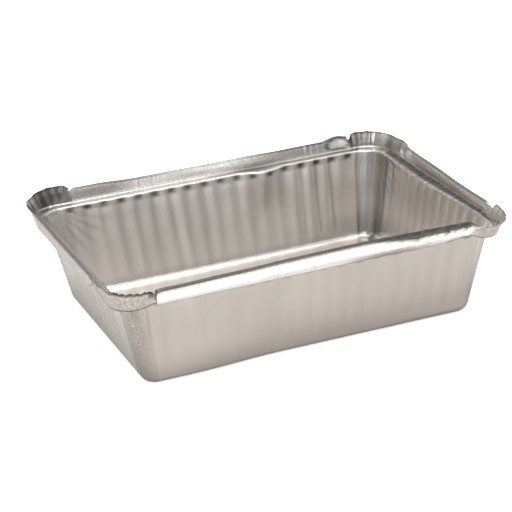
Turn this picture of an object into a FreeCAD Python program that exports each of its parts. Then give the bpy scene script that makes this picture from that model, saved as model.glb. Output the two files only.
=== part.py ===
# Pressed aluminium foil tray: a fluted wall that tapers to a flat floor, a narrow ledge round
# the mouth and an upright flange, rolled outward along each side and left plain at the corners.
# Millimetres, +Z up; the origin is the middle of the floor's underside, the long side along X.

import FreeCAD
import Part
import Sketcher
import os
from math import cos, pi, sin

doc = FreeCAD.newDocument("foil_tray")
sheet = doc.addObject("Spreadsheet::Sheet", "Sizes")

sizes = [
    ("mouth_length", 166.0),      # opening at the ledge's inner edge, long way
    ("mouth_width", 122.0),       # opening at the ledge's inner edge, short way
    ("wall_height", 40.0),        # floor's underside to the ledge's top
    ("wall_inset", 8.3),          # how far each wall leans in from mouth to floor
    ("mouth_radius", 10.0),       # plan corner of the opening
    ("rim_radius", 12.5),         # plan corner of the flange
    ("base_radius", 3.2),         # soft edge between wall and floor
    ("foil", 0.25),               # sheet thickness
    ("flute_pitch", 8.0),         # one flute of the wall, crest to crest
    ("flute_depth", 0.8),         # how far a flute stands out under the ledge
    ("flute_shoulder", 3.2),      # height in which a flute runs out under the ledge
    ("ledge_width", 4.4),         # flat step from the opening to the flange
    ("flange_height", 5.4),       # ledge's top to the top of the curl
    ("curl_radius", 0.7),         # inside radius of the rolled edge
    ("curl_drop", 4.0),           # straight part of the curl on its way down
    ("ear_height", 7.0),          # ledge's top to the top of a corner
    ("ear_flare", 2.4),           # how far a corner leans out at its top
    ("ear_wrinkle", 0.35),        # depth of the fine pleats in a corner
]
for row, (name, value) in enumerate(sizes, start=1):
    sheet.set("A" + str(row), name)
    sheet.set("B" + str(row), str(value))
    sheet.setAlias("B" + str(row), name)
doc.recompute()


def size(name):
    return float(sheet.get(name))


length = size("mouth_length")
width = size("mouth_width")
height = size("wall_height")
inset = size("wall_inset")
radius = size("mouth_radius")
rimTurn = size("rim_radius")
soft = size("base_radius")
foil = size("foil")
pitch = size("flute_pitch")
depth = size("flute_depth")
shoulder = size("flute_shoulder")
ledge = size("ledge_width")
flange = size("flange_height")
roll = size("curl_radius")
earHeight = size("ear_height")
flare = size("ear_flare")
wrinkle = size("ear_wrinkle")

longFlutes = max(3, round((length - 2 * radius) / pitch))
shortFlutes = max(3, round((width - 2 * radius) / pitch))
cornerSteps = 6
earSteps = 22


def side(count, reach, away, deep):
    """Points of one fluted side from -reach to +reach, as (along, out)."""
    step = 2 * reach / count
    points = []
    for index in range(count):
        start = -reach + index * step
        for share, out in ((0.1, 0), (0.5, 1), (0.9, 0)):
            points.append((start + share * step, away + out * deep))
    return points


def outline(z, halfX, halfY, corner, deep):
    """Closed fluted outline at one height, with flutes of that depth."""
    reachX = halfX - corner
    reachY = halfY - corner
    points = []
    turns = (
        (longFlutes, reachX, halfY, 0, -1),
        (shortFlutes, reachY, halfX, 1, 0),
        (longFlutes, reachX, halfY, 0, 1),
        (shortFlutes, reachY, halfX, -1, 0),
    )
    for turn, (count, reach, away, outX, outY) in enumerate(turns):
        for along, out in side(count, reach, away, deep):
            points.append(FreeCAD.Vector(outX * out - outY * along, outY * out + outX * along, z))
        middleX = reachX if turn in (0, 1) else -reachX
        middleY = reachY if turn in (1, 2) else -reachY
        for step in range(1, cornerSteps):
            angle = (turn - 1 + step / cornerSteps) * pi / 2
            out = corner + (0.55 * deep if step % 2 else 0)
            points.append(FreeCAD.Vector(middleX + out * cos(angle), middleY + out * sin(angle), z))
    points.append(points[0])
    return Part.makePolygon(points)


def wallOutlines(name, skin):
    """Outlines of the wall from floor to mouth, skin in from its outside."""
    curve = soft - skin
    levels = []
    for share in (0, 0.48, 1):
        angle = share * pi / 2
        levels.append((skin + curve * (1 - cos(angle)), skin + curve * (1 - sin(angle)), 0.3 * share ** 2))
    levels.append((height - shoulder, skin, 1))
    levels.append((height, skin, 0))
    if skin:
        levels.append((height + 2, skin, 0))
    wires = []
    for index, (z, inward, share) in enumerate(levels):
        lean = inset * max(0, height - z) / height
        wire = doc.addObject("Part::Feature", name + str(index))
        wire.Shape = outline(
            z,
            length / 2 - lean - inward,
            width / 2 - lean - inward,
            max(radius - lean / 2 - inward, 3),
            depth * share,
        )
        wires.append(wire)
    return wires


def loft(name, wires):
    """Solid with straight faces from each outline to the next."""
    body = doc.addObject("Part::Loft", name)
    body.Sections = wires
    body.Solid = True
    body.Ruled = True
    return body


outside = loft("wall_outside", wallOutlines("outside_outline", 0))
inside = loft("wall_inside", wallOutlines("inside_outline", foil))

# Ledge: a rounded plate whose edge lies in the middle of the flange.
plate = doc.addObject("PartDesign::Body", "ledge_body")
plane = [item for item in plate.Origin.OriginFeatures if item.Role == "XY_Plane"][0]
plan = plate.newObject("Sketcher::SketchObject", "ledge_plan")
plan.AttachmentSupport = [(plane, "")]
plan.MapMode = "FlatFace"
plan.AttachmentOffset = FreeCAD.Placement(FreeCAD.Vector(0, 0, height - foil), FreeCAD.Rotation())
plan.setExpression(".AttachmentOffset.Base.z", "Sizes.wall_height - Sizes.foil")
halfX = length / 2 + ledge - foil / 2
halfY = width / 2 + ledge - foil / 2
turn = rimTurn - foil / 2
reachX = halfX - turn
reachY = halfY - turn
halfXWords = "Sizes.mouth_length / 2 + Sizes.ledge_width - Sizes.foil / 2"
halfYWords = "Sizes.mouth_width / 2 + Sizes.ledge_width - Sizes.foil / 2"
edges = (
    ((-reachX, -halfY), (reachX, -halfY)),
    ((halfX, -reachY), (halfX, reachY)),
    ((reachX, halfY), (-reachX, halfY)),
    ((-halfX, reachY), (-halfX, -reachY)),
)
for first, last in edges:
    plan.addGeometry(Part.LineSegment(FreeCAD.Vector(*first, 0), FreeCAD.Vector(*last, 0)))
centres = ((reachX, -reachY), (reachX, reachY), (-reachX, reachY), (-reachX, -reachY))
for index, (x, y) in enumerate(centres):
    ring = Part.Circle(FreeCAD.Vector(x, y, 0), FreeCAD.Vector(0, 0, 1), turn)
    plan.addGeometry(Part.ArcOfCircle(ring, (index - 1) * pi / 2, index * pi / 2))
for index in range(4):
    plan.addConstraint(Sketcher.Constraint("Tangent", index, 2, 4 + index, 1))
    plan.addConstraint(Sketcher.Constraint("Tangent", 4 + index, 2, (index + 1) % 4, 1))
for index in (0, 2):
    plan.addConstraint(Sketcher.Constraint("Horizontal", index))
for index in (1, 3):
    plan.addConstraint(Sketcher.Constraint("Vertical", index))
for index in (1, 2, 3):
    plan.addConstraint(Sketcher.Constraint("Equal", 4, 4 + index))
drives = (
    (Sketcher.Constraint("Radius", 4, turn), "Sizes.rim_radius - Sizes.foil / 2"),
    (Sketcher.Constraint("Distance", -1, 1, 0, halfY), halfYWords),
    (Sketcher.Constraint("Distance", -1, 1, 2, halfY), halfYWords),
    (Sketcher.Constraint("Distance", -1, 1, 1, halfX), halfXWords),
    (Sketcher.Constraint("Distance", -1, 1, 3, halfX), halfXWords),
)
for constraint, words in drives:
    index = plan.addConstraint(constraint)
    plan.setExpression("Constraints[" + str(index) + "]", words)
pad = plate.newObject("PartDesign::Pad", "ledge_pad")
pad.Profile = plan
pad.setExpression("Length", "Sizes.foil")

# Rolled edge: up from the ledge, over and outward, down again and in at the foot.
top = height + flange
crown = top - roll - foil
foot = crown - size("curl_drop")


def curl(name, halfSpan, away, angle):
    """Rolled flange of one side, pushed out along it from its middle section."""
    def at(out, z):
        return FreeCAD.Vector(0, away + out, z)

    def arc(first, middle, last):
        return Part.Arc(at(*first), at(*middle), at(*last)).toShape()

    def line(first, last):
        return Part.makeLine(at(*first), at(*last))

    lean = roll * 0.7071
    outer = roll + foil
    outerLean = outer * 0.7071
    wire = Part.Wire([
        line((-foil, height - foil), (-foil, crown)),
        arc((-foil, crown), (roll, top), (roll + outer, crown)),
        line((roll + outer, crown), (roll + outer, foot)),
        arc((roll + outer, foot), (roll + outerLean, foot - outerLean), (roll, foot - outer)),
        line((roll, foot - outer), (roll, foot - roll)),
        arc((roll, foot - roll), (roll + lean, foot - lean), (2 * roll, foot)),
        line((2 * roll, foot), (2 * roll, crown)),
        arc((2 * roll, crown), (roll, crown + roll), (0, crown)),
        line((0, crown), (0, height - foil)),
        line((0, height - foil), (-foil, height - foil)),
    ])
    section = doc.addObject("Part::Feature", name + "_section")
    section.Shape = Part.Face(wire)
    section.Placement = FreeCAD.Placement(FreeCAD.Vector(), FreeCAD.Rotation(FreeCAD.Vector(0, 0, 1), angle))
    run = doc.addObject("Part::Extrusion", name)
    run.Base = section
    run.Dir = FreeCAD.Vector(cos(angle * pi / 180), sin(angle * pi / 180), 0)
    run.DirMode = "Custom"
    run.LengthFwd = halfSpan
    run.LengthRev = halfSpan
    run.Solid = True
    return run


rimX = length / 2 + ledge
rimY = width / 2 + ledge
curls = [
    curl("curl_back", rimX - rimTurn, rimY, 0),
    curl("curl_left", rimY - rimTurn, rimX, 90),
    curl("curl_front", rimX - rimTurn, rimY, 180),
    curl("curl_right", rimY - rimTurn, rimX, 270),
]


def ear(name, middleX, middleY, start):
    """Plain pleated corner of the flange, flared out a little at its top."""
    sections = []
    for step in range(earSteps + 1):
        share = step / earSteps
        angle = start + share * pi / 2
        swell = sin(share * pi)
        pleat = wrinkle * swell * (1 if step % 2 else -1)
        rise = flange - roll + (earHeight - flange + roll) * min(1, 2.2 * swell)
        lean = flare * min(1, 1.5 * swell) + pleat
        ground = height - foil
        corners = []
        for out, z in (
            (-foil, ground),
            (0, ground),
            (lean, height + rise),
            (lean - foil, height + rise),
            (-foil, ground),
        ):
            reach = rimTurn + out
            corners.append(FreeCAD.Vector(middleX + reach * cos(angle), middleY + reach * sin(angle), z))
        section = doc.addObject("Part::Feature", name + "_section" + str(step))
        section.Shape = Part.makePolygon(corners)
        sections.append(section)
    return loft(name, sections)


ears = [
    ear("ear_back_right", rimX - rimTurn, rimY - rimTurn, 0),
    ear("ear_back_left", rimTurn - rimX, rimY - rimTurn, pi / 2),
    ear("ear_front_left", rimTurn - rimX, rimTurn - rimY, pi),
    ear("ear_front_right", rimX - rimTurn, rimTurn - rimY, 3 * pi / 2),
]

full = doc.addObject("Part::MultiFuse", "tray_full")
full.Shapes = [outside, plate] + curls + ears
full.Refine = False
tray = doc.addObject("Part::Cut", "tray_cut")
tray.Base = full
tray.Tool = inside
tray.Refine = False
tray.Label = "tray"
doc.recompute()

for item in doc.Objects:
    if "Invalid" in item.State or "Error" in item.State:
        raise RuntimeError(item.Name + " did not compute")
shape = tray.Shape
if shape.isNull() or not shape.isValid() or len(shape.Solids) != 1:
    raise RuntimeError("the tray is not one valid solid: " + str(len(shape.Solids)))
print("faces", len(shape.Faces), "volume", round(shape.Volume), "box", shape.BoundBox)

os.makedirs("parts", exist_ok=True)
shape.exportStep("parts/tray.step")
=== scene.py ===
import bpy
import bmesh
from math import atan2, cos, hypot, pi, radians, sin
from mathutils import Matrix, Vector, noise


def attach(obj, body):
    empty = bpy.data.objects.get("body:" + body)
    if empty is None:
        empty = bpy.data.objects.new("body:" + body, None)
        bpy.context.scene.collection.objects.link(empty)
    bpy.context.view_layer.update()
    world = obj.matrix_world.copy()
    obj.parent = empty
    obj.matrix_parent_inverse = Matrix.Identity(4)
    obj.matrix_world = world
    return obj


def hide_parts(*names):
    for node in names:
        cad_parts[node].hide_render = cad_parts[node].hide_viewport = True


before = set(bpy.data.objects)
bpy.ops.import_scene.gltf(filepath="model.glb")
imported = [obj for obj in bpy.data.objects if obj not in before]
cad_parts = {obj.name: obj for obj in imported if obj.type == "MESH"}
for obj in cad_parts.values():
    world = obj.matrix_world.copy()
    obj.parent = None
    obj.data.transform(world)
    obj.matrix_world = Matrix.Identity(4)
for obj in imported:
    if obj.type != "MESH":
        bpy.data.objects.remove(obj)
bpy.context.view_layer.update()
print("frame loaded")

mm = 0.001

tray = {
    # the pressed sheet, in millimetres
    "length": 166.0,  # opening at the ledge, along X
    "width": 122.0,  # opening at the ledge, along Y
    "height": 40.0,  # floor to ledge
    "inset": 8.3,  # lean of each wall
    "corner": 10.0,  # plan radius of the opening
    "rimCorner": 12.5,  # plan radius of the flange
    "tightest": 2.0,  # smallest plan radius anywhere
    "soft": 3.2,  # radius between wall and floor
    "softBack": 1.9,  # the same at the back
    "flutes": (18, 13),  # on a long and on a short side
    "flute": 0.38,  # depth of a flute under the ledge
    "shoulder": 3.4,  # height in which it runs out
    "ledge": 4.4,
    "fold": (0.12, 0.05),  # how tight the ledge's two folds are
    "crown": 4.4,  # ledge to the middle of the roll
    "roll": 0.85,  # radius of the roll
    "drop": 4.1,  # straight part of the roll
    "tuck": 0.6,  # share of a half turn at the roll's lower end
    "ear": 6.9,  # ledge to the top of a corner
    "flare": 2.9,  # how far a corner leans out
    "pleat": 0.26,  # depth of a corner's fine pleats
    "backLean": 1.3,  # how far the back flange leans out
    "foil": 0.14,  # thickness shown
    "crinkle": 0.11,  # small unevenness of the sheet
    # how finely the sheet is divided
    "columns": (162, 112, 16),  # long side, short side, half a corner
    "floorRings": (16, 9, 5, 2.2, 0.8),  # distance from the foot
    "rows": {"foot": 7, "wall": 24, "shoulder": 6, "ledge": 6, "flange": 5, "edge": 15},
    # bends of this tray: how much, and from where over what length along its side
    "press": {"deep": 0.9, "fade": 22.0},  # foot of the back pressed in
    "bulge": {"deep": 2.4, "start": 12.0, "over": 44.0, "high": 24.0},  # foot out at the front left
    "flatten": 16.0,  # width of floor over which both fade
    "swing": {"deep": 1.3, "start": (20.0, -36.0), "over": (55.0, 70.0)},  # wall out, front right
    "droop": {"deep": 2.2, "atRight": 1.4},  # ledge sinks at the front corners
    # front rim bent up in its middle
    "raised": {"high": 2.3, "least": 0.36, "middle": 18.0, "length": 190.0, "fade": 6.0},
    "dent": {"deep": 1.6, "down": 0.9, "middle": -26.0, "half": 13.0},  # in the ledge at the back
    "bow": {"deep": 1.4, "half": 50.0},  # right side pressed in
    "tab": {"high": 1.3, "middle": -66.5, "half": 8.5},  # bulged end of the back roll
    "tabRing": {"half": 5.5, "height": 0.62, "tall": 0.42},  # its lit middle and dark outline
    "backRise": {"high": 0.9, "start": 36.0, "over": 18.0, "bend": 1.4},  # toward the left corner
    "rightRise": {"high": 1.3, "start": -22.0, "over": 40.0, "fade": 20.0},  # toward the back
    "worn": {"less": 1.7, "start": 46.0, "over": 28.0},  # shorter roll at the front right
    "rollEnd": {"short": 1.3, "over": 2.2, "sink": 0.6, "sinkOver": 2.0},  # at the front left
    "sink": 3.4,  # the front right corner hangs lower
    # scored lines down the back wall, each darkened with painted shade: x, shade, half width
    "scores": ((51.5, 0.30, 0.8), (59.0, 0.36, 0.9), (74.5, 0.26, 1.0), (44.0, 0.12, 1.0)),
    "creases": {"far": 30.0, "farRight": 14.0, "count": 4.1, "sharp": 3.5},
    "crease": (0.08, 0.26),  # depth and shade of each crease
    # small unevenness, in millimetres
    "waves": {
        "fine": 0.13,  # ridges on the flutes, as a share of their depth
        "wallCorner": 0.3,  # the same for the wall's corners
        "score": 0.22,
        "ledge": 0.14,
        "ledgeCorner": 0.5,
        "flange": (0.26, 0.20),  # outward and up
        "crumple": (0.30, 0.38),  # at the right end of the front rim
        "ribs": 0.20,
        "ear": 0.35,
        "earTop": 0.2,
    },
    # painted shade: how much darker than the plain sheet each place is coloured, standing in for
    # shade, shadows and darker reflections
    "paintedShades": {
        "right": 0.31,
        "rightFoot": 0.24,
        "back": 0.055,
        "backFoot": 0.14,
        "front": 0.035,
        "leftCorner": 0.30,
        "notch": 1.44,  # where a flute meets the ledge
        "ledge": 0.34,
        "ledgeBack": 0.30,
        "ledgeRight": 0.36,
        "flangeBack": 0.08,
        "flangeEnds": 0.26,
        "flangeDip": 0.45,
        "tabEdge": 0.45,
        "earFoot": 0.10,
        "rim": 0.45,
        "frontRim": 0.92,
        "frontUnder": 0.50,
        "teeth": 0.55,
        "earTop": 0.30,
        "earTopFront": 0.75,
    },
    # and painted light: how much lighter each place is coloured, standing in for light and bright
    # reflections
    "lights": {
        "left": 0.06,
        "backLow": 0.09,
        "frontLow": 0.08,
        "flangeTop": 0.22,
        "tab": 0.25,
        "roll": 0.12,
        "pleats": 0.08,
    },
    # how much the shade varies by chance
    "mottle": {"wall": 0.10, "wallCorner": 0.16, "ledgeRight": 0.40, "ledgeCorner": 0.45},
    # painted shade of the two back corners at their dark end, and how much lighter the other end is
    "earShades": {"right": (0.66, 0.60), "back": (0.44, 0.78)},
}

front, right, back, left = range(4)
# how far each corner piece runs on along the side before and after it, and melts into the roll
ears = {
    front: ((0, 7), (4, 6)),
    right: ((7, 30), (2.5, 0)),
    back: ((8, 2.5), (2, 9)),
    left: ((3, 20), (3.3, 0)),
}
height = tray["height"]
soft = tray["soft"]
ledge = tray["ledge"]
crown = tray["crown"]
ear = tray["ear"]
shoulder = height - tray["shoulder"]  # where the flutes start to run out
waves, paintedShades, lights, mottle = tray["waves"], tray["paintedShades"], tray["lights"], tray["mottle"]
rollLength = pi * tray["roll"] * (1 + tray["tuck"]) + tray["drop"]


def wobble(x, y, z=0.0, seed=0.0):
    return noise.noise(Vector((x + 31.7 * seed, y - 17.3 * seed, z + 7.1 * seed)))


def ease(value):
    value = min(1.0, max(0.0, value))
    return value * value * (3 - 2 * value)


def ramp(value, start, over):
    return ease((value - start) / over)


def bell(value, middle, half):
    # one at the middle, nothing beyond half on either side
    return ease(1 - abs(value - middle) / half)


def wave(phase):
    return 0.5 - 0.5 * cos(2 * pi * phase)


def makeColumns():
    # columns round the tray: side, share along it, share of the corner after it
    made = []
    for side in (front, right, back, left):
        steps = tray["columns"][side % 2]
        for step in range(steps):
            made.append((side, (step + 0.5) / steps, None))
        bends = 2 * tray["columns"][2]
        for step in range(bends + 1):
            made.append((side, 1.0, step / bends))
    return made


def makeRows():
    # rows from the floor to the end of the roll: part, share of it, height, outward
    made = []
    count = tray["rows"]
    inner, outer = tray["fold"]
    for inward in tray["floorRings"]:
        made.append(("floor", 0, 0.0, -soft - inward))
    for step in range(count["foot"]):
        share = step / count["foot"]
        angle = share * pi / 2
        made.append(("foot", share, soft * (1 - cos(angle)), -soft * (1 - sin(angle))))
    for step in range(count["wall"]):
        share = step / count["wall"]
        made.append(("wall", share, soft + (shoulder - soft) * share, 0.0))
    for step in range(count["shoulder"]):
        share = step / count["shoulder"]
        made.append(("shoulder", share, shoulder + tray["shoulder"] * share, 0.0))
    made.append(("ledge", 0.0, height - inner, outer))
    for step in range(1, count["ledge"]):
        share = step / count["ledge"]
        made.append(("ledge", share, height, ledge * share))
    made.append(("ledge", 1.0, height + outer, ledge - inner))
    for step in range(1, count["flange"] + 1):
        share = step / count["flange"]
        made.append(("flange", share, height + crown * share, ledge))
    for step in range(1, count["edge"] + 1):
        made.append(("edge", step / count["edge"], 0, 0))
    return made


columns = makeColumns()
rows = makeRows()


def place(column, z, out):
    # plan position, outward direction and distance along the side
    side, along, bend = column
    lean = tray["inset"] * max(0.0, height - z) / height
    halfX = tray["length"] / 2 - lean + out
    halfY = tray["width"] / 2 - lean + out
    grow = min(1.0, max(0.0, out / ledge)) * (tray["rimCorner"] - tray["corner"])
    beyond = out if out < 0 else max(0.0, out - ledge)
    corner = max(tray["corner"] - lean / 2 + grow + beyond, tray["tightest"])
    reach = (halfX - corner, halfY - corner)
    outward = ((0, -1), (1, 0), (0, 1), (-1, 0))[side]
    ahead = (-outward[1], outward[0])
    span = reach[side % 2]
    if bend is None:
        far = halfX if side % 2 else halfY
        run = (2 * along - 1) * span
        spot = (outward[0] * far + ahead[0] * run, outward[1] * far + ahead[1] * run)
        return spot, outward, run
    depth = reach[1 - side % 2]
    angle = (side - 1 + bend) * pi / 2
    away = (cos(angle), sin(angle))
    middle = (outward[0] * depth + ahead[0] * span, outward[1] * depth + ahead[1] * span)
    spot = (middle[0] + away[0] * corner, middle[1] + away[1] * corner)
    return spot, away, span + corner * bend * pi / 2


def sideEnd(side, z, out):
    # distance from the middle of a side to where its corner starts
    return abs(place((side, 1.0, None), z, out)[2])


def rolled(share, fall):
    # point on the rolled edge, from the flange's crown: out, up
    radius = tray["roll"]
    travel = share * (rollLength - tray["drop"] + fall)
    if travel < pi * radius:
        angle = travel / radius
        return radius * (1 - cos(angle)), radius * sin(angle)
    travel -= pi * radius
    if travel < fall:
        return 2 * radius, -travel
    angle = (travel - fall) / radius
    return radius * (1 + cos(angle)), -fall - radius * sin(angle)


def earShare(column, run, span):
    # how much of a column stands up as a corner piece, its place along that piece, and whose it is
    side, along, bend = column
    half = tray["rimCorner"] * pi / 4
    if bend is not None:
        owner, spot = side, (2 * bend - 1) * half
    elif run > 0:
        owner, spot = side, -half - (span - run)
    else:
        owner, spot = (side - 1) % 4, half + (span + run)
    reach, melt = ears[owner][0 if spot < 0 else 1]
    beyond = abs(spot) - half - reach
    whole = half + reach + melt
    if beyond <= 0:
        standing = 1.0
    else:
        standing = ease(1 - beyond / melt) if melt else 0.0
    return standing, max(-1.0, min(1.0, spot / whole)), owner


class SheetSpot:
    # one point of the sheet, and how far it is pushed out, lifted and shaded
    def __init__(self, column, row):
        self.side, self.around, self.bend = column
        self.part, self.share, self.z, self.out = row
        self.corner = self.bend is not None
        self.end = sideEnd(self.side, height, ledge)
        self.beside = place(column, height, ledge)[2]  # run at the rim, which names the column
        self.standing, self.along, self.owner = earShare(column, self.beside, self.end)
        self.swell = cos(self.along * pi / 2) ** 0.6 if abs(self.along) < 1 else 0.0
        self.climb = 0.0  # 0 at the ledge, 1 at the top of the flange
        self.fall = tray["drop"]
        self.raised = 0.0
        self.tube = 0.0  # on the front, distance from the left end of its roll
        self.push = 0.0
        self.lift = 0.0
        self.shade = 1.0
        if self.part in ("foot", "wall"):
            self.shapeFoot()
        if self.side == front and not self.corner:
            self.bendFrontRim()
        if self.part == "flange":
            self.climb = self.share * (self.standing * crown / ear + 1 - self.standing)
        if self.part == "edge":
            self.shapeEdge()
        self.spot, self.away, self.run = place(column, self.z, self.out)

    def straight(self, side):
        return self.side == side and not self.corner

    def shapeFoot(self):
        # the radius is tighter at the back and changes in the corners
        sharp = 1.0 if self.side == back else 0.0
        if self.corner and self.side in (right, back):
            sharp = self.bend if self.side == right else 1 - self.bend
        foot = soft - (soft - tray["softBack"]) * sharp
        if self.part == "foot":
            self.z *= foot / soft
            self.out *= foot / soft
        else:
            self.z = foot + (self.z - soft) * (shoulder - foot) / (shoulder - soft)

    def bendFrontRim(self):
        bent = tray["raised"]
        arch = cos(pi * (self.beside - bent["middle"]) / bent["length"]) ** 2
        high = bent["high"] * (bent["least"] + (1 - bent["least"]) * arch)
        self.raised = high * ramp(self.end - abs(self.beside), 0, bent["fade"])
        self.fall += self.raised
        last = tray["rollEnd"]
        self.tube = self.end + self.beside - ears[left][1][0]
        if 0 < self.tube < last["over"]:
            self.fall -= last["short"] * (1 - ramp(self.tube, 0, last["over"]))
        if self.part == "edge":
            worn = tray["worn"]
            self.fall -= worn["less"] * ramp(self.beside, worn["start"], worn["over"])

    def shapeEdge(self):
        # a standing column goes on upward, the others curl over into the roll
        over, rise = rolled(self.share, self.fall)
        high = (ear - crown) * ease(1.6 * self.swell) * self.share
        curled = 1 - self.standing
        self.z = height + crown + rise * curled + high * self.standing
        self.out = ledge + over * curled
        self.climb = curled + self.standing * (crown + high) / ear


def wallRelief(at):
    # flutes, scored lines and unevenness of the wall, with painted shadow in the notches under the
    # ledge, painted shade in the scored lines, and shade that varies by chance
    side, z, run = at.side, at.z, at.run
    reach = min(1.0, max(0.0, (z - soft) / (shoulder - soft)))
    deep = tray["flute"] * (0.25 + 0.75 * reach ** 0.8)
    if at.part == "foot":
        deep *= at.share ** 3
    if at.part == "shoulder":
        deep *= 1 - at.share ** 1.5
    at.push += tray["crinkle"] * wobble(run * 0.16, z * 0.10, side, seed=8) * reach
    if at.corner:
        pleats = wave(at.bend * 9 + 0.8 * wobble(at.bend * 6, z * 0.08, side))
        at.push += waves["wallCorner"] * deep * (pleats - 0.3)
        at.shade += mottle["wallCorner"] * wobble(at.bend * 14, z * 0.06, side, seed=14) * reach
    else:
        phase = at.around * tray["flutes"][side % 2]
        shaped = wave(phase + 0.05 * wobble(phase * 0.7, z * 0.05, side, seed=3)) ** 0.8
        ridges = waves["fine"] * wobble(phase * 5.0, z * 0.03, side, seed=5)
        at.push += deep * (shaped + ridges)
        at.shade += mottle["wall"] * wobble(phase * 1.3, z * 0.02, side, seed=13) * reach
        if side in (front, back):  # dark notches where the flutes meet the ledge
            notch = bell(height - z, 1.4, 2.2 + 0.8 * wobble(phase * 1.1, 0, side, seed=12))
            # painted shadow where a flute recedes under the ledge
            at.shade -= paintedShades["notch"] * notch * max(0.0, shaped - 0.45)
    if side == back and at.part != "foot":
        for x, dark, half in tray["scores"]:
            near = bell(run, -x + 0.04 * (height - z), half)
            # painted shade in the scored groove
            at.shade -= dark * near * ease(reach * 4)
            at.push -= waves["score"] * near * reach


def creaseFan(at):
    # creases that fan out from the mouth's two back corners across the wall, each darkened with
    # painted shade
    side, run = at.side, at.run
    nearBack = {front: False, right: run > 0, back: True, left: run < 0}[side]
    if at.corner:
        nearBack = side in (right, back)
    if not nearBack:
        return
    fan = tray["creases"]
    across = 1.0 if at.corner else sideEnd(side, at.z, at.out) - abs(run) + 4
    below = height - at.z + 0.5
    far = hypot(across, below)
    reach = fan["farRight"] if side == back and run < 0 else fan["far"]
    if far > reach:
        return
    angle = atan2(below, across)
    line = wave(angle * fan["count"] + 0.16 * wobble(far * 0.12, angle * 2, side, seed=15))
    crease = line ** fan["sharp"] * ease((reach - far) / reach * 1.9) * ramp(far, 4, 6)
    at.push += tray["crease"][0] * crease
    # painted shade in the crease
    at.shade -= tray["crease"][1] * crease


def wallPaintedShade(at):
    # painted light and shade: each wall lighter or darker than the others as light falls on it, and
    # lighter or darker toward the foot
    z = at.z
    if at.side == right:
        at.shade -= paintedShades["right"] + paintedShades["rightFoot"] * (1 - ramp(z, 4, 14))
    if at.side == back:
        at.shade -= paintedShades["backFoot"] * bell(z, 2.2, 2.0)
        if at.part == "wall":
            at.shade += lights["backLow"] * (1 - ease(z / height)) - paintedShades["back"]
    if at.side == left:
        at.shade += lights["left"] - paintedShades["leftCorner"] * at.swell * at.corner
    if at.side == front and at.part != "foot":
        low = (1 - ease(z / 18)) * ramp(at.run, 15, 40)
        at.shade += lights["frontLow"] * low - paintedShades["front"]


def bendWall(at):
    # dent in the back, bow of the right side, and the foot's bends
    near = {"wall": ramp(at.z, 20, 20), "shoulder": 1.0, "ledge": 1 - at.share}.get(at.part, 0.0)
    if at.straight(back):
        dent = tray["dent"]
        here = near * bell(at.run, dent["middle"], dent["half"])
        at.push -= dent["deep"] * here
        at.lift -= dent["down"] * here
    if at.straight(right):
        at.push -= tray["bow"]["deep"] * near * bell(at.run, 0.0, tray["bow"]["half"])
    if at.part not in ("floor", "foot", "wall"):
        return
    floorShare = max(0.0, 1 + (at.out + soft) / tray["flatten"])
    if at.straight(back):
        low = floorShare if at.part == "floor" else 1 - at.z / height
        fade = ramp(at.end - abs(at.beside), 0, tray["press"]["fade"])
        at.push -= tray["press"]["deep"] * low * fade
    if at.side == front or at.side == left and at.corner:
        bulge = tray["bulge"]
        low = floorShare if at.part == "floor" else 1 - ease(at.z / bulge["high"])
        along = ramp(-at.run, bulge["start"], bulge["over"]) if at.side == front else ease(at.bend)
        at.push += bulge["deep"] * low * along


def ledgeBumpsAndShade(at):
    # uneven ledge; painted shade makes it darker toward the flange, at the back and on the right,
    # and its shade also varies by chance on the right and in the corners
    side, share, run = at.side, at.share, at.run
    at.lift += waves["ledge"] * wobble(run * 0.12, share, side, seed=2) * share
    at.shade -= paintedShades["ledge"] * ramp(share, 0.15, 0.35)
    if side == back:
        at.shade -= paintedShades["ledgeBack"] * bell(run, -22.0, 26.0) * ramp(share, 0.2, 0.3)
    if at.straight(right):
        at.shade += mottle["ledgeRight"] * wobble(run * 0.8, share, 0, seed=22)
        at.shade -= paintedShades["ledgeRight"] * ramp(share, 0.1, 0.15)
    if at.corner:
        pleats = sin(at.bend * 46 + 2 * wobble(at.bend * 9, 0, side, seed=16))
        at.lift += waves["ledgeCorner"] * pleats * (1 - share) * share
        at.shade += mottle["ledgeCorner"] * wobble(at.bend * 30, share * 2, side, seed=17)


def droopCorner(at):
    droop = tray["droop"]
    deep = droop["deep"] * (droop["atRight"] if at.owner == front else 1.0)
    if at.part == "ledge":
        share = at.share
    else:
        share = 1 - at.climb if at.climb else 0.0
    at.lift -= deep * at.swell ** 1.5 * at.standing * share


def flangeShapeAndShade(at):
    # the front rim's arch and the small unevenness of all four sides, with painted shade at the
    # foot of the corner pieces
    side, climb, run = at.side, at.climb, at.run
    at.lift += at.raised * min(1.0, climb)
    at.push -= 0.3 * at.raised * min(1.0, climb)
    if at.tube > 0:
        last = tray["rollEnd"]
        at.lift -= last["sink"] * climb * (1 - ramp(at.tube, 0, last["sinkOver"]))
    if at.part == "flange":
        # painted shade at the foot of a corner piece
        at.shade -= paintedShades["earFoot"] * at.standing
    outward, upward = waves["flange"]
    at.push += outward * climb * wobble(run * 0.045, 0.0, side, seed=4)
    at.lift += upward * climb * wobble(run * 0.05, 3.0, side, seed=6)
    if at.straight(front):  # crumpled at the right end
        outward, upward = waves["crumple"]
        rough = climb * ramp(run, 26, 20)
        at.push += outward * rough * wobble(run * 0.55, at.z * 0.3, 0, seed=19)
        at.lift += upward * rough * wobble(run * 0.42, 1.0, 0, seed=20)
    if at.straight(right):
        rise = tray["rightRise"]
        fade = ramp(at.end - at.beside, 0, rise["fade"])
        at.lift += rise["high"] * climb * ramp(run, rise["start"], rise["over"]) * fade


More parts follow.
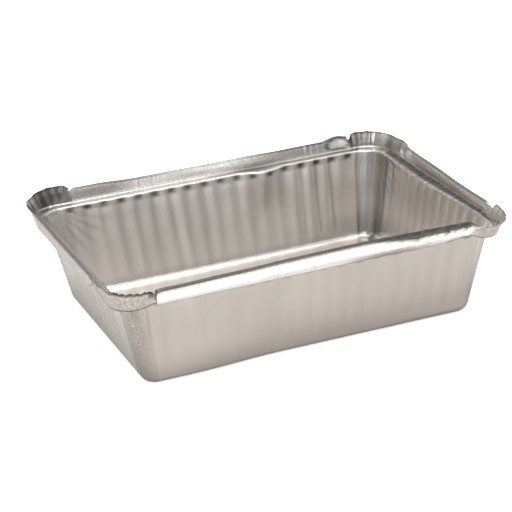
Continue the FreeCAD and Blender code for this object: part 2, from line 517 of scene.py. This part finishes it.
def backFlange(at):
    # leans out, has fine ribs, painted light and painted shade, and the bulged end of the roll with
    # a painted lit middle and dark outline
    climb, run = at.climb, at.run
    rise = tray["backRise"]
    at.shade -= paintedShades["flangeBack"] + paintedShades["flangeEnds"] * (1 - bell(run, 5.0, 45.0))
    if at.corner:
        at.push += tray["backLean"] * climb * (1 - ease(at.bend * 2))
        at.lift += rise["high"] * climb * (1 - ease(at.bend * rise["bend"]))
        return
    at.push += tray["backLean"] * climb
    at.lift += rise["high"] * climb * ramp(run, rise["start"], rise["over"])
    ribs = bell(run, -51.0, 12.0) + 0.6 * bell(run, 32.0, 26.0)
    at.push += waves["ribs"] * climb * ribs * sin(run * 2.9 + 2 * wobble(run * 0.3, 0, 0, seed=18))
    tab, ring = tray["tab"], tray["tabRing"]
    bulge = tab["high"] * bell(run, tab["middle"], tab["half"]) * climb
    at.lift += bulge
    at.push += 0.6 * bulge
    apart = hypot((run - tab["middle"]) / ring["half"], (climb - ring["height"]) / ring["tall"])
    at.shade += lights["tab"] * ease((1 - apart) * 4) - paintedShades["tabEdge"] * bell(apart, 1.05, 0.35)
    at.shade -= paintedShades["flangeDip"] * bell(run, -22.0, 24.0) * (1 - ramp(climb, 0.25, 0.3))
    at.shade += lights["flangeTop"] * bell(run, -8.0, 36.0) * ramp(climb, 0.45, 0.3)


def earForm(at):
    # a corner piece flares outward, with fine pleats; painted highlights on the pleats and painted
    # shade over its inner face
    climb, standing, along, swell, owner = at.climb, at.standing, at.along, at.swell, at.owner
    flare = tray["flare"] * ease(1.5 * swell) * climb ** 1.5 * standing
    if owner == front:
        flare *= 1.2
        at.lift -= tray["sink"] * climb * swell * standing
    pleats = sin(along * 34 + 1.5 * wobble(along * 7, 0, owner, seed=9)) * standing
    at.push += flare + tray["pleat"] * climb * pleats * swell ** 0.5
    uneven = waves["ear"] * wobble(along * 5, 0, owner, seed=11)
    at.lift += (uneven - waves["earTop"] * pleats * swell) * climb * standing
    # painted shade over the corner pieces where they mirror bright lamps, lighter toward one end
    paintedDarkening = 0.0
    if owner == right:
        dark, less = tray["earShades"]["right"]
        paintedDarkening = dark - less * ramp(-along, -0.3, 0.5)
    if owner == back:
        dark, less = tray["earShades"]["back"]
        paintedDarkening = dark - less * ramp(along, -0.3, 0.5)
    at.shade += lights["pleats"] * climb * pleats - paintedDarkening * standing * ease(3 * swell)


def edgePaintedShade(at):
    # painted shade: a dark line along the rim's top, widest and toothed at the front, a painted
    # shadow under the front roll, painted light on the roll below the dark band, and a darker top
    # on the corner pieces
    travel = at.share * (rollLength - tray["drop"] + at.fall) - pi * tray["roll"] / 2
    run = at.beside
    rolls = paintedShades["rim"] * ramp(-travel, -0.9, 0.6)
    if at.straight(front):
        wide = 2.0 + 1.9 * bell(run, 44, 22) + ramp(run, 50, 10) + 0.8 * ramp(-run, 66, 9)
        rolls = paintedShades["frontRim"] * ramp(wide - travel, 0, 1.0)
        rolls += paintedShades["frontUnder"] * bell(run, 32, 24) * ramp(travel - at.fall, -0.1, 0.5)
        teeth = ((run + 1.1 * travel) / 4.3 + 0.3 * wobble(run * 0.2, 0, 0, seed=21)) % 1.0
        toothed = ramp(run, 40, 6) * bell(teeth, 0.3, 0.3) * ramp(-travel, -4.6, 1.5)
        rolls += paintedShades["teeth"] * toothed
        rolls -= lights["roll"] * ramp(travel, wide, 0.8)
    top = paintedShades["earTop"] * ease((at.share - 0.6) * 4)
    if at.side == left and at.corner or at.side == front and run < 0:
        near = ease(at.bend * 2.2) if at.corner else 1.0
        top = paintedShades["earTopFront"] * near * ease((at.share - 0.35) * 3)
    at.shade -= rolls * (1 - at.standing) + top * at.standing


def swingOut(at, spot):
    # the front right part of the wall leans out toward x
    leans = {"wall": at.z / height, "shoulder": at.z / height, "ledge": 1 - at.share}
    swing = tray["swing"]
    fromX, fromY = swing["start"]
    overX, overY = swing["over"]
    share = ramp(spot[0], fromX, overX) * ramp(-spot[1], fromY, overY)
    return swing["deep"] * leans.get(at.part, 0.0) * share


def sheetPoint(column, row):
    # place in metres and shade of one point of the sheet
    at = SheetSpot(column, row)
    if at.part in ("foot", "wall", "shoulder"):
        wallRelief(at)
        wallPaintedShade(at)
        if at.part != "foot":
            creaseFan(at)
    bendWall(at)
    if at.part == "ledge":
        ledgeBumpsAndShade(at)
    if at.owner in (left, front) and at.standing:
        droopCorner(at)
    if at.climb:
        flangeShapeAndShade(at)
        if at.side == back:
            backFlange(at)
        if at.standing:
            earForm(at)
    if at.part == "edge":
        edgePaintedShade(at)
    spot = (at.spot[0] + at.away[0] * at.push, at.spot[1] + at.away[1] * at.push)
    point = Vector((spot[0] + swingOut(at, spot), spot[1], at.z + at.lift))
    return point * mm, min(1.3, max(0.15, at.shade))


def buildTray():
    across = len(columns)
    up = len(rows)
    mesh = bmesh.new()
    flat = mesh.loops.layers.uv.new("sheet")
    # painted shade and light of each point, carried to the foil's colour
    paintedShade = mesh.verts.layers.float.new("shade")
    bmesh.ops.create_grid(mesh, x_segments=across, y_segments=up - 1, size=1.0)
    places = {}  # column and row of each vertex
    for vert in mesh.verts:
        i = round((vert.co.x + 1) / 2 * across)
        j = round((vert.co.y + 1) / 2 * (up - 1))
        places[vert] = (i, j)
    sample = columns[10]
    drawn = [0.0]  # length of sheet up to each row
    for j in range(1, up):
        step = sheetPoint(sample, rows[j])[0] - sheetPoint(sample, rows[j - 1])[0]
        drawn.append(drawn[-1] + step.length)
    travel = [0.0]  # length round the mouth up to each column
    for i in range(1, across + 1):
        a = Vector(place(columns[i - 1], height, 0)[0])
        b = Vector(place(columns[i % across], height, 0)[0])
        travel.append(travel[-1] + (b - a).length * mm)
    for face in mesh.faces:
        for loop in face.loops:
            i, j = places[loop.vert]
            loop[flat].uv = (travel[i], drawn[j])
    # the roll is cut where it meets a standing corner piece
    start = next(index for index, row in enumerate(rows) if row[0] == "edge") - 1
    standings = []
    for column in columns:
        beside = place(column, height, ledge)[2]
        standings.append(earShare(column, beside, sideEnd(column[0], height, ledge))[0])
    cuts = []
    for face in mesh.faces:
        spots = [places[vert] for vert in face.verts]
        kinds = [standings[i % across] for i, j in spots]
        if min(j for i, j in spots) >= start and max(kinds) - min(kinds) > 0.9:
            cuts.append(face)
    for vert, (i, j) in places.items():
        vert.co, vert[paintedShade] = sheetPoint(columns[i % across], rows[j])
    bmesh.ops.delete(mesh, geom=cuts, context="FACES")
    bmesh.ops.remove_doubles(mesh, verts=mesh.verts, dist=0.002 * mm)
    rim = [edge for edge in mesh.edges if edge.is_boundary and edge.verts[0].co.z < 0.5 * mm]
    made = bmesh.ops.contextual_create(mesh, geom=rim)
    for face in made["faces"]:
        for loop in face.loops:
            loop[flat].uv = (loop.vert.co.x, loop.vert.co.y)
    bmesh.ops.recalc_face_normals(mesh, faces=mesh.faces)
    bottom = min(mesh.faces, key=lambda face: face.calc_center_median().z)
    if bottom.normal.z > 0:
        bmesh.ops.reverse_faces(mesh, faces=mesh.faces)
    for face in mesh.faces:
        face.smooth = True
    data = bpy.data.meshes.new("foilTray")
    mesh.to_mesh(data)
    mesh.free()
    made = bpy.data.objects.new("foilTray", data)
    bpy.context.collection.objects.link(made)
    return made


piece = buildTray()
thick = piece.modifiers.new("foil", "SOLIDIFY")
thick.thickness = tray["foil"] * mm
thick.offset = -1.0
print("tray built,", len(piece.data.polygons), "faces in the sheet")


class Graph:
    # wraps one socket so that shader maths reads as arithmetic
    def __init__(self, tree, socket=None):
        self.tree = tree
        self.socket = socket

    def node(self, kind, settings=None, inputs=None, output=0):
        made = self.tree.nodes.new(kind)
        for name, value in (settings or {}).items():
            setattr(made, name, value)
        for name, value in (inputs or {}).items():
            target = made.inputs[name]
            if isinstance(value, Graph):
                self.tree.links.new(value.socket, target)
            else:
                target.default_value = value
        return Graph(self.tree, made.outputs[output])

    def feed(self, target):
        self.tree.links.new(self.socket, target)

    def math(self, operation, *values):
        return self.node("ShaderNodeMath", {"operation": operation}, dict(enumerate(values)))

    def blend(self, low, high):
        # colour from low to high as this value goes from 0 to 1
        return self.node("ShaderNodeMix", {"data_type": "RGBA"}, {0: self, 6: low, 7: high}, 2)

    def scale(self, colour):
        # a colour times this value
        return self.node("ShaderNodeVectorMath", {"operation": "SCALE"}, {0: colour, "Scale": self})

    def clamp(self, low=0.0, high=1.0):
        return self.math("MINIMUM", self.math("MAXIMUM", self, low), high)

    def ramp(self, start, over):
        # from 0 at the start to 1, upward or downward
        return ((self - start) / over).clamp()

    def __add__(self, other):
        return self.math("ADD", self, other)

    def __radd__(self, other):
        return self.math("ADD", other, self)

    def __sub__(self, other):
        return self.math("SUBTRACT", self, other)

    def __rsub__(self, other):
        return self.math("SUBTRACT", other, self)

    def __mul__(self, other):
        return self.math("MULTIPLY", self, other)

    def __rmul__(self, other):
        return self.math("MULTIPLY", other, self)

    def __truediv__(self, other):
        return self.math("DIVIDE", self, other)

    def __rtruediv__(self, other):
        return self.math("DIVIDE", other, self)


look = {
    "tint": (0.72, 0.685, 0.65),
    # bright: the whiter tint of painted highlights
    "bright": (0.95, 0.945, 0.93),  # where the shade is over one
    "metal": 1.0,
    "roughness": 0.29,
    "smoothest": 0.28,  # keeps all parts on one side of the denoiser's step at 0.274
    "cloudy": 0.12,  # change of roughness in large patches
    "bump": 0.30,
    "bumpDepth": 0.0002,
    "lines": (1500.0, 22.0, 1.0),  # noise scales along and down the sheet
    "streaks": (380.0, 9.0, 1.0),
    "dimples": 330.0,
    "clouds": 26.0,
    "grain": 1300.0,
    "grainy": 1.3,
    "frontWall": -0.050,  # the front wall lies beyond this y
    "leftWall": -0.072,  # and the left one beyond this x
    "rim": 0.0403,  # the rim is above this height
    "frontFootBlotches": {"high": 0.014, "over": 0.012, "level": 0.42, "deep": 0.17},  # on the front's foot
}


def foilMaterial():
    made = bpy.data.materials.new("foil")
    made.use_nodes = True
    tree = made.node_tree
    shader = tree.nodes["Principled BSDF"]
    start = Graph(tree)
    flat = start.node("ShaderNodeUVMap", {"uv_map": "sheet"})
    spot = start.node("ShaderNodeTexCoord", output="Object")
    # painted shade and light from the sheet, multiplying the colour
    paintedShade = start.node("ShaderNodeAttribute", {"attribute_name": "shade"}, output="Fac")

    def axis(name):
        return start.node("ShaderNodeSeparateXYZ", None, {"Vector": spot}, name)

    def fleck(vector, scale, detail):
        inputs = {"Vector": vector, "Scale": scale, "Detail": detail}
        return start.node("ShaderNodeTexNoise", None, inputs)

    def streak(scale):
        stretched = start.node("ShaderNodeMapping", None, {"Vector": flat, "Scale": scale})
        return fleck(stretched, 1.0, 2.0)

    lines = streak(look["lines"])
    streaks = streak(look["streaks"])
    dimple = fleck(spot, look["dimples"], 3.0)
    cloud = fleck(spot, look["clouds"], 3.0)
    grain = fleck(spot, look["grain"], 2.0)
    across, depth, upward = axis("X"), axis("Y"), axis("Z")

    # drawing lines on the walls, less on the front one, and a grainy left wall
    calm = depth.ramp(look["frontWall"], 0.006)
    grainy = across.ramp(look["leftWall"], -0.004)
    walls = upward.ramp(0.0012, 0.003) * (calm * 0.75 + 0.25)
    relief = (lines * 0.30 + streaks * 0.55) * walls + dimple * (grainy * 1.6 + walls * 0.25)
    bumps = {"Strength": look["bump"], "Distance": look["bumpDepth"], "Height": relief}
    start.node("ShaderNodeBump", None, bumps).feed(shader.inputs["Normal"])

    rough = look["roughness"] + (cloud - 0.5) * look["cloudy"] + (streaks - 0.5) * walls * 0.08
    rough.clamp(look["smoothest"], 1.0).feed(shader.inputs["Roughness"])

    # faint dark blotches low on the front, darker toward its foot; grain on the rim and the left
    # wall
    frontFootBlotches = look["frontFootBlotches"]
    low = depth.ramp(look["frontWall"], -0.002) * upward.ramp(frontFootBlotches["high"], -frontFootBlotches["over"])
    blotchDarkening = low * ((cloud - frontFootBlotches["level"]) * 3.0).clamp() * frontFootBlotches["deep"]
    speckle = (grainy + upward.ramp(look["rim"], 0.0004) * 0.8).clamp()
    level = paintedShade * (1.0 - blotchDarkening) * (1.0 + (grain - 0.5) * speckle * look["grainy"])
    plain = (1.0 - (paintedShade - 1.0) * 6.0).clamp()
    tint = plain.blend((*look["bright"], 1.0), (*look["tint"], 1.0))
    level.scale(tint).feed(shader.inputs["Base Color"])
    shader.inputs["Metallic"].default_value = look["metal"]
    return made


piece.data.materials.append(foilMaterial())
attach(piece, "root")
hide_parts("tray")
print("foil finished")


studio = {
    "floorSize": 6.0,
    "floorGap": 0.0002,  # keeps the floor from touching the tray's underside
    "floor": (0.93, 0.93, 0.93, 1.0),
    "floorInFoil": (0.57, 0.55, 0.525, 1.0),  # as the foil mirrors it
    "farFloor": {"start": -0.125, "over": -0.05, "glow": 0.75},  # the brighter part in front
    "glow": 0.55,  # makes the floor white to the camera
    "horizon": (0.40, 0.395, 0.385, 1.0),
    "sky": (0.85, 0.85, 0.85, 1.0),
    "behind": 0.35,  # how much darker the sky is at the back
    "backdrop": (0.97, 0.97, 0.97, 1.0),
    # place, size and power
    "lamps": {
        "above": ((-0.10, -0.15, 1.3), (1.0, 0.8), 12.0),
        "left": ((-0.9, -0.9, 1.0), (0.7, 0.5), 4.0),
        "front": ((-0.2, -1.2, 0.62), (1.4, 0.4), 3.6),
    },
}


def buildFloor():
    mesh = bmesh.new()
    bmesh.ops.create_grid(mesh, x_segments=1, y_segments=1, size=studio["floorSize"])
    data = bpy.data.meshes.new("floor")
    mesh.to_mesh(data)
    mesh.free()
    made = bpy.data.objects.new("floor", data)
    made.location.z = -studio["floorGap"]
    bpy.context.collection.objects.link(made)
    material = bpy.data.materials.new("floor")
    material.use_nodes = True
    tree = material.node_tree
    shader = tree.nodes["Principled BSDF"]
    start = Graph(tree)
    mirrored = start.node("ShaderNodeLightPath", output="Is Glossy Ray")
    seen = start.node("ShaderNodeLightPath", output="Is Camera Ray")
    spot = start.node("ShaderNodeTexCoord", output="Object")
    depth = start.node("ShaderNodeSeparateXYZ", None, {"Vector": spot}, "Y")
    far = studio["farFloor"]
    away = depth.ramp(far["start"], far["over"])
    mirrored.blend(studio["floor"], studio["floorInFoil"]).feed(shader.inputs["Base Color"])
    glow = seen * studio["glow"] + mirrored * away * far["glow"]
    glow.scale((1.0, 1.0, 1.0)).feed(shader.inputs["Emission Color"])
    shader.inputs["Emission Strength"].default_value = 1.0
    shader.inputs["Roughness"].default_value = 0.8
    shader.inputs["Specular IOR Level"].default_value = 0.1
    data.materials.append(material)


def addLamp(name, spot, size, power):
    data = bpy.data.lights.new(name, "AREA")
    data.shape = "RECTANGLE"
    data.size, data.size_y = size
    data.energy = power
    made = bpy.data.objects.new(name, data)
    made.location = spot
    made.rotation_euler = (-Vector(spot)).to_track_quat("-Z", "Y").to_euler()
    bpy.context.collection.objects.link(made)


def makeWorld():
    world = bpy.data.worlds.new("studio")
    bpy.context.scene.world = world
    world.use_nodes = True
    air = Graph(world.node_tree)
    seen = air.node("ShaderNodeLightPath", output="Is Camera Ray")
    ray = air.node("ShaderNodeTexCoord", output="Generated")
    high = air.node("ShaderNodeSeparateXYZ", None, {"Vector": ray}, "Z")
    deep = air.node("ShaderNodeSeparateXYZ", None, {"Vector": ray}, "Y")
    rise = high.ramp(0.05, 0.75) - deep.ramp(0.2, 0.4) * studio["behind"]
    around = rise.blend(studio["horizon"], studio["sky"])
    background = world.node_tree.nodes["Background"]
    seen.blend(around, studio["backdrop"]).feed(background.inputs["Color"])
    background.inputs["Strength"].default_value = 1.0


buildFloor()
for name, (spot, size, power) in studio["lamps"].items():
    addLamp(name, spot, size, power)
makeWorld()
print("stage lit")


lens = {
    "picture": 512,  # width in pixels
    "sensor": 36.0,
    "azimuth": -20.33,
    "elevation": 21.93,
    "roll": -4.0,
    "distance": 877.3,
    "focal": 1988.9,  # in pixels
    "shift": (-6.92, 4.46),  # in pixels
    "aim": 20.7,
    "near": 0.01,
    "far": 50.0,
}


def placeCamera():
    eye = bpy.data.cameras.new("camera")
    eye.sensor_width = lens["sensor"]
    eye.lens = lens["focal"] / lens["picture"] * lens["sensor"]
    eye.shift_x, eye.shift_y = (shift / lens["picture"] for shift in lens["shift"])
    eye.clip_start = lens["near"]
    eye.clip_end = lens["far"]
    camera = bpy.data.objects.new("camera", eye)
    bpy.context.collection.objects.link(camera)
    azimuth = radians(lens["azimuth"])
    elevation = radians(lens["elevation"])
    tilt = radians(lens["roll"])
    level = cos(elevation)
    toward = Vector((sin(azimuth) * level, -cos(azimuth) * level, sin(elevation)))
    sideways = Vector((cos(azimuth), sin(azimuth), 0))
    above = toward.cross(sideways)
    axes = (
        sideways * cos(tilt) + above * sin(tilt),
        above * cos(tilt) - sideways * sin(tilt),
        toward,
    )
    spot = Vector((0, 0, lens["aim"] * mm)) + toward * (lens["distance"] * mm)
    camera.matrix_world = Matrix.Translation(spot) @ Matrix(axes).transposed().to_4x4()
    bpy.context.scene.camera = camera


placeCamera()
bpy.context.scene.view_settings.view_transform = "Standard"
